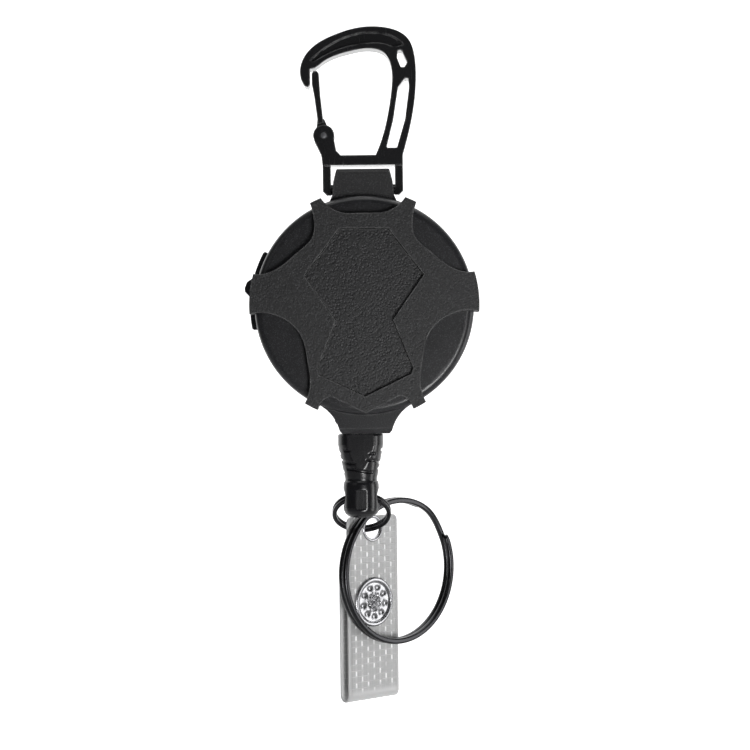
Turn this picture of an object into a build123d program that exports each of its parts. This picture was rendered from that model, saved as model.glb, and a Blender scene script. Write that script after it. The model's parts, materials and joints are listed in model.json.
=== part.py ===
from build123d import *
import math
import os

os.makedirs("parts", exist_ok=True)

# Retractable badge reel. Millimetres. +Z is up, the front faces -Y, and the origin is the
# centre of the case's rear face. An outline drawn in X and Z is given two depths in y,
# "back" (the larger y) and "front" (the smaller).

# Case
CASE_R = 21.7
CASE_IN_R = 20.2
FLOOR_Y = -1.5
SPLIT_Y = -6.6
FRONT_IN_Y = -11.0
FRONT_Y = -12.4
COVER_Y = -14.2
COVER_R = 22.6
ARM_BACK_Y = -7.0
INLAY_Y = -13.2

# Spool, spring and cord
ARBOR_R = 2.5
RUN_FIT = 0.06
TEETH = 24
TOOTH_TIP_R = 15.4
TOOTH_ROOT_R = 14.0
FLANGE_R = 18.5
DRUM_R = 13.6
CAVITY_R = 12.8
WEB_REAR_Y = -2.1
WEB_FRONT_Y = -4.0
FLANGE_REAR_Y = -4.9
FLANGE_FRONT_Y = -8.4
SPOOL_FRONT_Y = -9.2
CORD_R = 0.45
WOUND_TURNS = 8
LAYER_R = (14.1, 15.1, 16.1)
OUTLET_X = -1.1

# Nozzle and boot
NOZZLE_Z = -25.4
BOOT_TOP_Z = -25.75
BOOT_END_Z = -42.2
BOOT_HOLE_Z = -38.1

# Link ring, strap and key ring
LINK_R = 5.5
LINK_TILT = 49.0
LINK_BESIDE = 2.0
LINK_SECTION = (0.9, 1.5)
TURNED = 41.0
STRAP_W = 13.5
STRAP_T = 0.5
STRAP_TOP = 2.6
STRAP_DROP = 35.0
LEAF_PITCH = 2.4
SNAP_DROP = 15.0
KEY_R = 14.4
KEY_SECTION = (1.2, 2.3)
KEY_AHEAD = 2.05
KEY_ASIDE = 5.1
KEY_DROP = 9.0

# Carabiner
BAR_Z = 23.3
BAR_R = 1.05
LOOP_HALF = 8.0
LOOP_IN = 6.4
BODY_HALF_T = 2.0
LOOP_HALF_T = 1.2
PIVOT = (-7.7, 34.0)
PIN_R = 0.55

# Lock
PAWL_ANGLE = 212.0
PAWL_R = 18.1
PAWL_TIP = 179.0


def polar(radius, degrees):
    """The point at a radius and an angle, counter-clockwise from +X, seen from the front."""
    a = math.radians(degrees)
    return radius * math.cos(a), radius * math.sin(a)


def slab(outline, back, front):
    """A solid from an outline in X and Z, between two depths."""
    return extrude(Plane.XZ.offset(-back) * outline, amount=back - front, dir=(0, -1, 0))


def disc(radius, back, front, x=0.0, z=0.0):
    return slab(Pos(x, z) * Circle(radius), back, front)


def ring(outer, inner, back, front, x=0.0, z=0.0):
    return slab(Pos(x, z) * (Circle(outer) - Circle(inner)), back, front)


def facing_up(face):
    """The same face, turned over if it looks down."""
    return face if face.faces()[0].normal_at().Z > 0 else Sketch() + -face.faces()[0]


def shape(points):
    return facing_up(make_face(Polyline(*points, close=True).edges()))


def rounded(points, radius):
    return facing_up(make_face(FilletPolyline(*points, radius=radius, close=True).edges()))


def face_of(lines):
    return facing_up(make_face(Curve() + lines))


def sector(outer, inner, start, end):
    """The part of a flat ring between two angles less than 90 degrees apart."""
    middle = (start + end) / 2
    reach = 2 * outer
    wedge = shape([(0, 0), polar(reach, start), polar(reach, middle), polar(reach, end)])
    return (Circle(outer) - Circle(inner)) & wedge


def rod_z(radius, low, high, x=0.0, y=0.0):
    return extrude(Plane.XY.offset(low) * Pos(x, y) * Circle(radius), amount=high - low)


def rod_x(radius, left, right, y, z):
    return extrude(Plane.YZ.offset(left) * Pos(y, z) * Circle(radius), amount=right - left)


# ---------------------------------------------------------------- carabiner

def carabiner_frame():
    """An open hook: nose, crown, pierced spine, and a square loop that ends in a round bar."""
    crown = Spline(
        (-12.0, 45.0), (-11.7, 49.1), (-9.85, 51.5), (-5.65, 53.9), (0.25, 55.5),
        (4.2, 55.45), (7.1, 54.7), (9.3, 53.1), (10.35, 50.7), (10.8, 46.0),
        (10.4, 40.3), (9.1, 33.9), (8.0, 30.0),
    )
    inside = Spline(
        (2.6, 30.0), (4.1, 33.9), (5.25, 38.7), (5.95, 43.5), (5.9, 47.5), (4.6, 50.2),
        (1.6, 51.2), (-2.6, 50.6), (-6.2, 49.45), (-8.5, 47.95),
    )
    outline = face_of([
        crown,
        Polyline((8.0, 30.0), (LOOP_HALF, 28.0), (-LOOP_HALF, 28.0), (-8.3, 30.8), (-5.1, 30.8),
                 (-4.4, 30.0), (2.6, 30.0)),
        inside,
        Polyline((-8.5, 47.95), (-9.2, 47.5), (-10.3, 47.2), (-10.3, 44.2), (-10.7, 43.6),
                 (-11.4, 43.9), (-12.0, 45.0)),
    ])
    boss = Pos(*PIVOT) * Circle(2.1) + shape([(-8.3, 30.2), (-5.1, 30.2), (-5.7, 33.4), (-9.6, 33.0)])
    lower_window = rounded([
        (4.75, 31.4), (6.85, 31.4), (8.55, 37.1), (9.4, 43.5), (9.3, 45.2), (8.6, 45.2),
        (7.2, 43.4), (6.2, 37.1),
    ], 0.25)
    upper_window = rounded([
        (7.2, 50.8), (8.0, 50.8), (9.1, 48.3), (8.5, 47.4), (7.8, 47.4), (7.1, 49.2),
    ], 0.25)
    plate = outline + boss - lower_window - upper_window
    back, front = SPLIT_Y + BODY_HALF_T, SPLIT_Y - BODY_HALF_T
    body = slab(plate, back, front)
    channel = face_of([
        Spline((-10.3, 48.9), (-5.2, 52.6), (1.0, 54.4), (5.6, 53.8), (8.4, 51.9)),
        Line((8.4, 51.9), (6.4, 51.4)),
        Spline((6.4, 51.4), (4.3, 52.2), (1.2, 52.3), (-3.5, 51.5), (-9.6, 48.6)),
        Line((-9.6, 48.6), (-10.3, 48.9)),
    ])
    for depth in ((back, back - 0.7), (front + 0.7, front)):
        body -= slab(channel, *depth)
    slot = Pos(*PIVOT) * Circle(2.4) + shape([(-11.5, 34.0), (-4.0, 34.0), (-4.0, 37.0), (-11.5, 37.0)])
    body -= slab(slot, SPLIT_Y + 1.0, SPLIT_Y - 1.0)
    for side in (-1, 1):
        foot = BAR_Z - LOOP_HALF_T
        leg = shape([
            (side * LOOP_HALF, 28.4), (side * LOOP_HALF, foot + 0.8), (side * (LOOP_HALF - 0.8), foot),
            (side * LOOP_IN, foot), (side * LOOP_IN, 28.4),
        ])
        body += slab(leg, SPLIT_Y + LOOP_HALF_T, SPLIT_Y - LOOP_HALF_T)
    body += rod_x(BAR_R, -LOOP_IN - 0.5, LOOP_IN + 0.5, SPLIT_Y, BAR_Z)
    body -= disc(PIN_R, 0, -14, *PIVOT)
    return body


def gate():
    """The sprung lever that closes the hook; its tongue sits between the frame's two ears."""
    lever = shape([
        (-8.8, 36.3), (-9.5, 41.9), (-9.95, 44.3), (-9.95, 46.4), (-9.6, 46.9), (-8.9, 46.9),
        (-8.55, 46.4), (-8.3, 41.9), (-7.7, 36.3),
    ])
    tongue = Pos(*PIVOT) * Circle(1.8) + shape([(-9.2, 34.6), (-6.4, 34.6), (-7.6, 37.4), (-8.95, 37.4)])
    body = slab(lever, SPLIT_Y + 1.5, SPLIT_Y - 1.5)
    body -= slab(Pos(*PIVOT) * Circle(2.5), SPLIT_Y + 2, SPLIT_Y - 2)
    body += slab(tongue, SPLIT_Y + 0.85, SPLIT_Y - 0.85)
    body -= disc(PIN_R + RUN_FIT, 0, -14, *PIVOT)
    body -= slab(Pos(*PIVOT) * Circle(1.35) + shape([
        (PIVOT[0], 31.5), (-4.5, 31.5), (-4.5, 34.0), (PIVOT[0], 34.9),
    ]), SPLIT_Y + 0.45, SPLIT_Y - 0.45)
    return body


def gate_spring():
    """A torsion coil round the pin, with one tail out to the frame."""
    wire = 0.14
    coil = Helix(pitch=0.3, height=0.6, radius=0.95)
    start = coil @ 0
    section = Plane(origin=start, z_dir=coil % 0) * Circle(wire)
    spring = sweep(section, path=coil, is_frenet=True)
    turn = Plane(origin=(PIVOT[0], SPLIT_Y + 0.3, PIVOT[1]), x_dir=(1, 0, 0), z_dir=(0, -1, 0))
    return turn * spring


# ---------------------------------------------------------------- case

NOZZLE = face_of([
    ThreePointArc((-9.2, -19.6), (-6.4, -22.1), (-5.2, -24.8)),
    Polyline((-5.2, -24.8), (-4.7, NOZZLE_Z), (4.7, NOZZLE_Z), (5.2, -24.8)),
    ThreePointArc((5.2, -24.8), (6.4, -22.1), (9.2, -19.6)),
    Line((9.2, -19.6), (-9.2, -19.6)),
])
LUG = rounded([
    (-7.0, 20.0), (7.0, 20.0), (6.1, 22.0), (5.9, 24.6), (5.25, 27.2), (-5.25, 27.2),
    (-5.9, 24.6), (-6.1, 22.0),
], 0.3)
LUG_REAR_Y = -3.4
LUG_FRONT_Y = -9.8
LUG_SCREWS = [(-3.4, 25.6), (3.4, 25.6)]
LUG_HEAD_Y = LUG_REAR_Y - 0.3
CASE_SCREWS = LUG_SCREWS + [(-4.9, -22.6), (4.3, -22.6)]
BAR_HOLE = rod_x(BAR_R + 0.08, -9, 9, SPLIT_Y, BAR_Z)
GUIDE_HOLE = rod_z(1.9, -26, -19, OUTLET_X, SPLIT_Y)
INSIDE = disc(CASE_IN_R, FLOOR_Y, FRONT_IN_Y)
LOCK_WINDOW = slab(sector(23, 19, 164.5, 190.0), -1.9, -3.9)


def lug_corner(face_y, outward):
    """A wedge off the lug's top edge, where the carabiner passes as it tilts."""
    corner = shape([
        (face_y + outward * 0.1, 26.3), (face_y + outward * 0.1, 27.6), (face_y - outward * 0.9, 27.6),
    ])
    return extrude(Plane.YZ.offset(-8) * corner, amount=16)


def rear_shell():
    """The half with the rear face, the rear half of the lug, and the posts for spool and pawl."""
    dish = disc(CASE_R, 0, SPLIT_Y)
    dish = fillet(dish.edges().group_by(Axis.Y)[-1], 1.2)
    nozzle = slab(NOZZLE, -1.2, SPLIT_Y)
    nozzle = chamfer(nozzle.edges().group_by(Axis.Y)[-1].sort_by(Axis.Z)[:1], 0.9)
    body = dish + nozzle + slab(LUG, LUG_REAR_Y, SPLIT_Y)
    body -= INSIDE
    body += ring(4.6, ARBOR_R, FLOOR_Y, -1.8)
    body -= disc(ARBOR_R, -0.6, -3)
    body += disc(0.75, FLOOR_Y, -3.85, *polar(PAWL_R, PAWL_ANGLE))
    body += disc(0.6, FLOOR_Y, -3.5, *polar(16.7, 205))
    body -= BAR_HOLE
    body -= GUIDE_HOLE
    body -= LOCK_WINDOW
    body -= lug_corner(LUG_REAR_Y, 1)
    for x, z in LUG_SCREWS:
        body -= disc(1.2, LUG_REAR_Y + 1, LUG_HEAD_Y - 0.85, x, z)
    for x, z in CASE_SCREWS:
        body -= disc(0.85, 0, SPLIT_Y, x, z)
    for x, z in CASE_SCREWS[2:]:
        body -= disc(1.5, 0, -2.2, x, z)
    return body


def front_shell():
    """The half behind the star cover; the cover's pegs and the centre screw go into it."""
    dish = disc(CASE_R, SPLIT_Y, FRONT_Y)
    dish = fillet(dish.edges().group_by(Axis.Y)[0], 1.6)
    nozzle = slab(NOZZLE, SPLIT_Y, -11.2)
    nozzle = chamfer(nozzle.edges().group_by(Axis.Y)[0].sort_by(Axis.Z)[:1], 1.1)
    body = dish + nozzle
    body -= INSIDE
    body += ring(5.0, ARBOR_R, FRONT_IN_Y, -10.5)
    body -= disc(ARBOR_R, SPLIT_Y, -11.2)
    body -= disc(1.0, SPLIT_Y, FRONT_Y)
    body -= disc(2.0, -11.6, FRONT_Y)
    body -= GUIDE_HOLE
    body -= slab(shape([(-7.5, 20.6), (7.5, 20.6), (7.5, 28), (-7.5, 28)]), SPLIT_Y, LUG_FRONT_Y - 0.05)
    for x, z in CASE_SCREWS[2:]:
        body -= disc(0.7, SPLIT_Y, -9.9, x, z)
    for x, z in COVER_PEGS:
        body -= disc(0.95, FRONT_IN_Y, FRONT_Y, x, z)
    return body


COVER_PEGS = [(0, 16.6), (-16.5, 2.5), (16.5, 2.5)]


def lug_cover():
    """The front half of the lug, which closes the case round the carabiner's bar."""
    body = slab(LUG & shape([(-7.5, 20.65), (7.5, 20.65), (7.5, 28), (-7.5, 28)]), SPLIT_Y, LUG_FRONT_Y)
    body -= lug_corner(LUG_FRONT_Y, -1)
    body -= disc(CASE_IN_R + 0.5, SPLIT_Y, LUG_FRONT_Y)
    body -= BAR_HOLE
    for x, z in LUG_SCREWS:
        body -= disc(0.7, SPLIT_Y, -9.0, x, z)
    return body


def star_outline():
    """Six arms and a point below: half of it is drawn, and mirrored."""
    half = [
        Line((0, 18.0), (3.4, 18.0)),
        ThreePointArc((3.4, 18.0), (6.0, 18.9), (8.3, 21.02)),
        RadiusArc((8.3, 21.02), (10.45, 20.04), COVER_R),
        Spline(
            (10.45, 20.04), (9.65, 16.4), (10.1, 13.3), (12.9, 10.5), (15.9, 8.0), (18.3, 6.65),
            (21.7, 6.3),
        ),
        RadiusArc((21.7, 6.3), (22.54, -1.6), COVER_R),
        Spline((22.54, -1.6), (18.4, -1.55), (15.9, -2.55), (13.6, -4.4), (11.95, -7.35), (11.3, -10.9),
               (10.85, -14.4), (11.9, -19.2)),
        RadiusArc((11.9, -19.2), (9.45, -20.53), COVER_R),
        Spline((9.45, -20.53), (8.35, -18.7), (7.3, -18.05), (6.3, -18.1)),
        Line((6.3, -18.1), (0, -21.3)),
    ]
    return face_of(half + [mirror(line, about=Plane.YZ) for line in half])


HOURGLASS = [
    (4.8, 15.0), (11.75, 5.8), (5.6, -3.05), (9.4, -12.4), (9.1, -13.6), (0, -18.0),
    (-9.1, -13.6), (-9.4, -12.4), (-5.6, -3.05), (-11.75, 5.8), (-4.8, 15.0),
]


def star_cover():
    """The front trim: a plate with an hourglass window, and arms that wrap round the rim."""
    body = slab(star_outline(), ARM_BACK_Y, COVER_Y) - disc(CASE_R + 0.05, ARM_BACK_Y, FRONT_Y)
    body -= slab(shape(HOURGLASS), FRONT_Y, COVER_Y)
    for x, z in COVER_PEGS:
        body += disc(0.9, -11.2, FRONT_Y, x, z)
    return body


def inlay_panel():
    return slab(shape(HOURGLASS), FRONT_Y, INLAY_Y)


def screw(x, z, head_y, length, radius, head_r, head_t, sign):
    """A pan-head screw along Y; sign is -1 where it is driven from behind, +1 from in front."""
    tip = head_y + sign * (head_t + length)
    neck = head_y + sign * head_t
    head = disc(head_r, max(head_y, neck), min(head_y, neck), x, z)
    outer = head_y - sign * 0.01
    head -= slab(Pos(x, z) * (Rectangle(head_r * 1.2, 0.35) + Rectangle(0.35, head_r * 1.2)),
                 max(outer, outer + sign * 0.36), min(outer, outer + sign * 0.36))
    return head + disc(radius, max(neck, tip), min(neck, tip), x, z)


def case_screws():
    lug = [screw(x, z, LUG_HEAD_Y, 4.3, 0.7, 1.1, 0.85, -1) for x, z in LUG_SCREWS]
    low = [screw(x, z, -1.3, 7.4, 0.7, 1.45, 0.85, -1) for x, z in CASE_SCREWS[2:]]
    return Compound(children=lug + low)


# ---------------------------------------------------------------- inside the case

def arbor():
    """The fixed centre post; the spring's inner end is caught in its slot."""
    body = disc(ARBOR_R, -0.6, -11.2)
    body -= slab(shape([(-0.3, 0), (0.3, 0), (0.3, 4), (-0.3, 4)]), -4.1, -9.1)
    body -= disc(0.75, -6.0, -11.2)
    return body


def arbor_screw():
    return screw(0, 0, FRONT_Y + 0.05, 5.0, 0.75, 1.85, 0.7, 1)


def ratchet_outline():
    pitch = 360 / TEETH
    points = []
    for i in range(TEETH):
        centre = PAWL_TIP + 1.6 + (i + 0.5) * pitch
        points += [
            polar(TOOTH_ROOT_R, centre - 3.0), polar(TOOTH_TIP_R, centre - 2.0),
            polar(TOOTH_TIP_R, centre + 2.0), polar(TOOTH_ROOT_R, centre + 3.0),
        ]
    return shape(points)


def spool():
    """Ratchet, two flanges and a drum that is hollow for the spring."""
    body = slab(ratchet_outline(), WEB_REAR_Y, WEB_FRONT_Y)
    body += ring(FLANGE_R, CAVITY_R, WEB_FRONT_Y, FLANGE_REAR_Y)
    body += ring(DRUM_R, CAVITY_R, WEB_FRONT_Y, SPOOL_FRONT_Y)
    body += ring(FLANGE_R, CAVITY_R, FLANGE_FRONT_Y, SPOOL_FRONT_Y)
    body -= disc(ARBOR_R + RUN_FIT, 0, -14)
    return body


def spring_cover():
    return ring(14.6, ARBOR_R + RUN_FIT, SPOOL_FRONT_Y, -9.9)


def power_spring():
    """A flat spiral strip: packed turns against the drum, then a loose lead in to the post."""
    half = 0.11
    packed = 7
    steps = 14
    middle = []
    for i in range(packed * steps + 1):
        middle.append((12.45 - 0.4 * i / steps, 360 * i / steps))
    last_r, last_a = middle[-1]
    lead = 24
    for i in range(1, lead + 1):
        part = i / lead
        ease = part * part * (3 - 2 * part)
        middle.append((last_r + (2.75 - last_r) * ease, last_a + 450 * part))
    outer = [polar(r + half, a) for r, a in middle]
    inner = [polar(r - half, a) for r, a in middle]
    strip = face_of([
        Spline(*outer), Line(outer[-1], inner[-1]), Spline(*inner), Line(inner[0], outer[0]),
    ])
    tail = shape([(-0.11, 1.0), (0.11, 1.0), (0.11, 2.8), (-0.11, 2.8)])
    return slab(strip + tail, -4.4, -8.8)


def wound_point(turns):
    """A point on the wound cord; it is laid in three layers, to and fro across the drum."""
    per_layer = WOUND_TURNS / len(LAYER_R)
    layer = min(int(turns / per_layer), len(LAYER_R) - 1)
    along = turns / per_layer - layer
    radius = LAYER_R[layer]
    if layer + 1 < len(LAYER_R) and along > 0.9:
        climb = (along - 0.9) / 0.1
        radius += (LAYER_R[layer + 1] - radius) * climb * climb * (3 - 2 * climb)
    across = 1.25 * math.cos(math.pi * along) * (1 if layer % 2 == 0 else -1)
    x, z = polar(radius, LEAVE_ANGLE + 360 * (WOUND_TURNS - turns))
    return x, SPLIT_Y + across, z


OUTLET = (OUTLET_X, -19.3)
OUTLET_REACH = math.hypot(*OUTLET)
LEAVE_ANGLE = math.degrees(
    math.atan2(OUTLET[1], OUTLET[0]) + math.acos(LAYER_R[-1] / OUTLET_REACH)
)


def tube(path, radius, coiled=False):
    return sweep(Plane(origin=path @ 0, z_dir=path % 0) * Circle(radius), path=path, is_frenet=coiled)


def cord_winding():
    steps = 16
    points = [wound_point(i / steps) for i in range(WOUND_TURNS * steps + 1)]
    return tube(Spline(*points), CORD_R, coiled=True)


def cord_run():
    """From the winding, round into the outlet."""
    start = wound_point(WOUND_TURNS)
    path = FilletPolyline(start, (OUTLET[0], SPLIT_Y, OUTLET[1]), (OUTLET_X, SPLIT_Y, -21.8), radius=1.6)
    return tube(path, CORD_R)


def cord_lead():
    return rod_z(CORD_R, -32.4, -21.8, OUTLET_X, SPLIT_Y)


def cord_guide():
    """A smooth bush that the cord runs through."""
    body = rod_z(1.9, -25.2, -20.0, OUTLET_X, SPLIT_Y) - rod_z(0.75, -26, -19, OUTLET_X, SPLIT_Y)
    edges = body.edges().filter_by(GeomType.CIRCLE).sort_by(SortBy.RADIUS)[:2]
    return chamfer(edges, 0.5)


def washer(back, front):
    return ring(4.4, ARBOR_R + 0.05, back, front)


# ---------------------------------------------------------------- lock

def lock_slider():
    """A curved plate on the rim with a thumb nub, and a finger that goes in behind the pawl."""
    body = slab(sector(22.95, CASE_R + 0.12, 150.5, 191.4), -1.2, -5.9)
    body = chamfer(body.edges().filter_by(Axis.Y), 0.3)
    nub = [
        polar(22.6, 163.5), polar(24.1, 167.6), polar(24.35, 170.6), polar(24.2, 172.4),
        polar(22.6, 175.8),
    ]
    body += slab(shape(nub), -1.7, -5.4)
    body += slab(sector(22.0, 18.9, 165.5, 170.5), -2.1, -3.7)
    return body


def lock_pawl():
    """A curved lever on a post; its tooth drops between the ratchet's teeth."""
    x, z = polar(PAWL_R, PAWL_ANGLE)
    lever = sector(19.6, 18.0, PAWL_TIP, PAWL_ANGLE) + Pos(x, z) * Circle(1.45)
    tooth = shape([
        polar(18.6, PAWL_TIP), polar(15.8, PAWL_TIP + 0.8), polar(15.8, PAWL_TIP + 3.6),
        polar(18.6, PAWL_TIP + 7.5),
    ])
    return slab(lever + tooth - Pos(x, z) * Circle(0.75 + RUN_FIT), -2.1, -3.7)


def pawl_spring():
    """A leaf from its post to the inner side of the pawl."""
    foot = polar(16.7, 205)
    leaf = shape([
        polar(16.55, 203), polar(17.6, 190.2), polar(17.85, 190.6), polar(16.85, 203),
    ])
    collar = Pos(*foot) * (Circle(0.95) - Circle(0.62))
    return slab(leaf + collar, -2.3, -3.3)


# ---------------------------------------------------------------- boot and rings

def boot():
    """A tapered rubber end stop with a ribbed middle and a cross hole for the link ring."""
    profile = [
        (0, BOOT_TOP_Z), (4.2, BOOT_TOP_Z), (4.55, BOOT_TOP_Z - 0.4), (4.55, -27.8), (3.3, -34.3),
        (3.15, -34.9), (3.45, -35.5), (3.57, -36.3), (3.57, -40.2),
    ]
    outline = face_of([
        Polyline(*profile),
        ThreePointArc((3.57, -40.2), (2.98, -41.61), (1.57, BOOT_END_Z)),
        Polyline((1.57, BOOT_END_Z), (0, BOOT_END_Z), (0, BOOT_TOP_Z)),
    ])
    body = Pos(OUTLET_X, SPLIT_Y) * revolve(Plane.XZ * outline, Axis.Z)
    body -= rod_z(CORD_R + 0.2, -28.6, BOOT_TOP_Z, OUTLET_X, SPLIT_Y)
    body -= rod_z(1.6, -33.2, -28.6, OUTLET_X, SPLIT_Y)
    flare = face_of([
        Line((-4.2, 0), (-4.2, 2.0)),
        ThreePointArc((-4.2, 2.0), (0, 1.2), (4.2, 2.0)),
        Polyline((4.2, 2.0), (4.2, 0), (-4.2, 0)),
    ])
    return body - Pos(OUTLET_X, SPLIT_Y, BOOT_HOLE_Z) * revolve(Plane.XZ * flare, Axis.X)


def cord_crimp():
    return rod_z(1.5, -32.8, -28.9, OUTLET_X, SPLIT_Y) - rod_z(CORD_R, -32.4, -28.9, OUTLET_X, SPLIT_Y)


def split_ring(plane, radius, section):
    """Two flat coils side by side, drawn as one ring with a groove between them."""
    radial, axial = section
    coil = RectangleRounded(radial, axial / 2 + 0.03, 0.28 * radial)
    profile = Pos(radius, axial / 4) * coil + Pos(radius, -axial / 4) * coil
    return plane * revolve(Plane.XZ * profile, Axis.Z)


DOWN = Vector(0, math.sin(math.radians(LINK_TILT)), -math.cos(math.radians(LINK_TILT)))
HOLE = Vector(OUTLET_X, SPLIT_Y, BOOT_HOLE_Z)
LINK_CENTRE = HOLE + DOWN * (LINK_R - 0.2)
EYELET = LINK_CENTRE + DOWN * math.sqrt(LINK_R**2 - LINK_BESIDE**2) + Vector(LINK_BESIDE, 0, 0)
ALONG = Vector(math.cos(math.radians(TURNED)), math.sin(math.radians(TURNED)), 0)
FACING = Vector(math.sin(math.radians(TURNED)), -math.cos(math.radians(TURNED)), 0)
STRAP_PLANE = Plane(origin=EYELET - Vector(0, 0, 0.15), x_dir=ALONG, z_dir=FACING)
KEY_CENTRE = EYELET + ALONG * KEY_ASIDE + FACING * KEY_AHEAD - Vector(0, 0, KEY_DROP)


def link_ring():
    plane = Plane(origin=LINK_CENTRE, x_dir=(1, 0, 0), z_dir=DOWN.cross(Vector(1, 0, 0)))
    return split_ring(plane, LINK_R, LINK_SECTION)


def key_ring():
    return split_ring(Plane(origin=KEY_CENTRE, x_dir=ALONG, z_dir=FACING), KEY_R, KEY_SECTION)


# ---------------------------------------------------------------- strap and its metal parts
# In the strap's own plane x runs across it, y runs up it, and z is its front face.

FOLD_Y = -STRAP_DROP + LEAF_PITCH / 2 + STRAP_T / 2
EYE_HOLE_R = 2.05
EYE_BARREL_R = 2.25


def leaf(top, bottom, z_back):
    outline = Pos(0, (top + bottom) / 2) * RectangleRounded(STRAP_W, top - bottom, 1.2)
    square = Pos(0, bottom + 1.0) * Rectangle(STRAP_W, 2.0)
    return Pos(0, 0, z_back) * extrude(outline + square, amount=STRAP_T)


def pin(radius, low, high, y=0.0):
    return Pos(0, y, low) * extrude(Circle(radius), amount=high - low)


def strap_fold():
    """The round fold at the strap's foot, which bends when the short leaf opens."""
    outer = LEAF_PITCH / 2 + STRAP_T / 2
    strip = Circle(outer) - Circle(outer - STRAP_T)
    half = strip & Pos(-outer / 2, 0) * Rectangle(outer, 2 * outer)
    place = Plane(origin=(-STRAP_W / 2, FOLD_Y, -LEAF_PITCH / 2), x_dir=(0, 1, 0), z_dir=(1, 0, 0))
    return STRAP_PLANE * place * extrude(half, amount=STRAP_W)


def badge_strap():
    """The long leaf: eyelet at the top and snap in the middle."""
    body = leaf(STRAP_TOP, FOLD_Y, -STRAP_T / 2)
    body -= pin(EYE_BARREL_R, -1, 1)
    body -= pin(1.2, -1, 1, -SNAP_DROP)
    return STRAP_PLANE * body


def strap_flap():
    """The short leaf that folds up behind and snaps on."""
    back = -LEAF_PITCH - STRAP_T / 2
    body = leaf(-SNAP_DROP + 7.5, FOLD_Y, back)
    body -= pin(1.0, back - 1, back + 1, -SNAP_DROP)
    return STRAP_PLANE * body


def strap_eyelet():
    flange = STRAP_T / 2 + 0.18
    body = pin(EYE_BARREL_R, -flange, flange)
    body += pin(2.7, STRAP_T / 2, flange) + pin(2.7, -flange, -STRAP_T / 2)
    return STRAP_PLANE * (body - pin(EYE_HOLE_R, -1, 1))


def snap_cap():
    """A rolled rim round a sunk floor, with a tube through the leaf."""
    face = STRAP_T / 2
    body = pin(5.0, face, face + 0.5, -SNAP_DROP)
    body = fillet(body.edges().group_by(Axis.Z)[-1], 0.24)
    body -= pin(4.1, face + 0.2, face + 1, -SNAP_DROP)
    body += pin(1.2, -STRAP_T / 2, face, -SNAP_DROP)
    return STRAP_PLANE * body


def snap_socket():
    """The spring cup on the back of the long leaf."""
    back = -STRAP_T / 2
    body = pin(4.2, back - 1.0, back, -SNAP_DROP) - pin(1.85, back - 1.1, back - 0.25, -SNAP_DROP)
    return STRAP_PLANE * body


def snap_stud():
    """The stud on the front of the short leaf, which presses into the cup."""
    leaf_face = -LEAF_PITCH + STRAP_T / 2
    body = pin(3.9, leaf_face, leaf_face + 0.55, -SNAP_DROP)
    body += pin(1.7, leaf_face, leaf_face + 1.35, -SNAP_DROP)
    return STRAP_PLANE * body


def snap_post():
    """The rivet behind the short leaf that holds the stud."""
    back = -LEAF_PITCH - STRAP_T / 2
    body = pin(4.2, back - 0.5, back, -SNAP_DROP) + pin(1.0, back, back + STRAP_T, -SNAP_DROP)
    return STRAP_PLANE * body


nodes = {
    "carabiner_frame": carabiner_frame(),
    "gate": gate(),
    "gate_pin": disc(PIN_R, SPLIT_Y + 2.1, SPLIT_Y - 2.1, *PIVOT),
    "gate_spring": gate_spring(),
    "rear_shell": rear_shell(),
    "front_shell": front_shell(),
    "lug_cover": lug_cover(),
    "star_cover": star_cover(),
    "inlay_panel": inlay_panel(),
    "case_screws": case_screws(),
    "arbor": arbor(),
    "arbor_screw": arbor_screw(),
    "spool": spool(),
    "spring_cover": spring_cover(),
    "power_spring": power_spring(),
    "rear_washer": washer(-1.82, -2.06),
    "front_washer": washer(-9.94, -10.46),
    "cord_winding": cord_winding(),
    "cord_run": cord_run(),
    "cord_lead": cord_lead(),
    "cord_guide": cord_guide(),
    "cord_crimp": cord_crimp(),
    "lock_slider": lock_slider(),
    "lock_pawl": lock_pawl(),
    "pawl_spring": pawl_spring(),
    "boot": boot(),
    "link_ring": link_ring(),
    "badge_strap": badge_strap(),
    "strap_fold": strap_fold(),
    "strap_flap": strap_flap(),
    "strap_eyelet": strap_eyelet(),
    "snap_cap": snap_cap(),
    "snap_socket": snap_socket(),
    "snap_stud": snap_stud(),
    "snap_post": snap_post(),
    "key_ring": key_ring(),
}

for name, solid in nodes.items():
    export_step(solid, f"parts/{name}.step")
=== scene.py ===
import json
import math

import bmesh
import bpy
from mathutils import Matrix, Vector


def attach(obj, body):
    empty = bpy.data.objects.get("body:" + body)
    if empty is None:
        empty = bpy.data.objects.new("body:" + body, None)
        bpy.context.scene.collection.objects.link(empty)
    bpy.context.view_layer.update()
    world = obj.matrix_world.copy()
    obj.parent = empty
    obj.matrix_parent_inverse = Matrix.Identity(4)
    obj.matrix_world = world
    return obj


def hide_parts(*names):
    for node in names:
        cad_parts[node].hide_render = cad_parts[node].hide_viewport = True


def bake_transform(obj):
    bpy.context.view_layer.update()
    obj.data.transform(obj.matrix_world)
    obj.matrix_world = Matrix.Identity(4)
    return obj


bl_info = {
    "name": "Badge reel",
    "version": (1, 0, 0),
    "blender": (4, 5, 0),
    "location": "3D View > Sidebar > Badge reel",
    "description": "Builds the looks of a retractable badge reel around its packed frame",
    "category": "Object",
}

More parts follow.
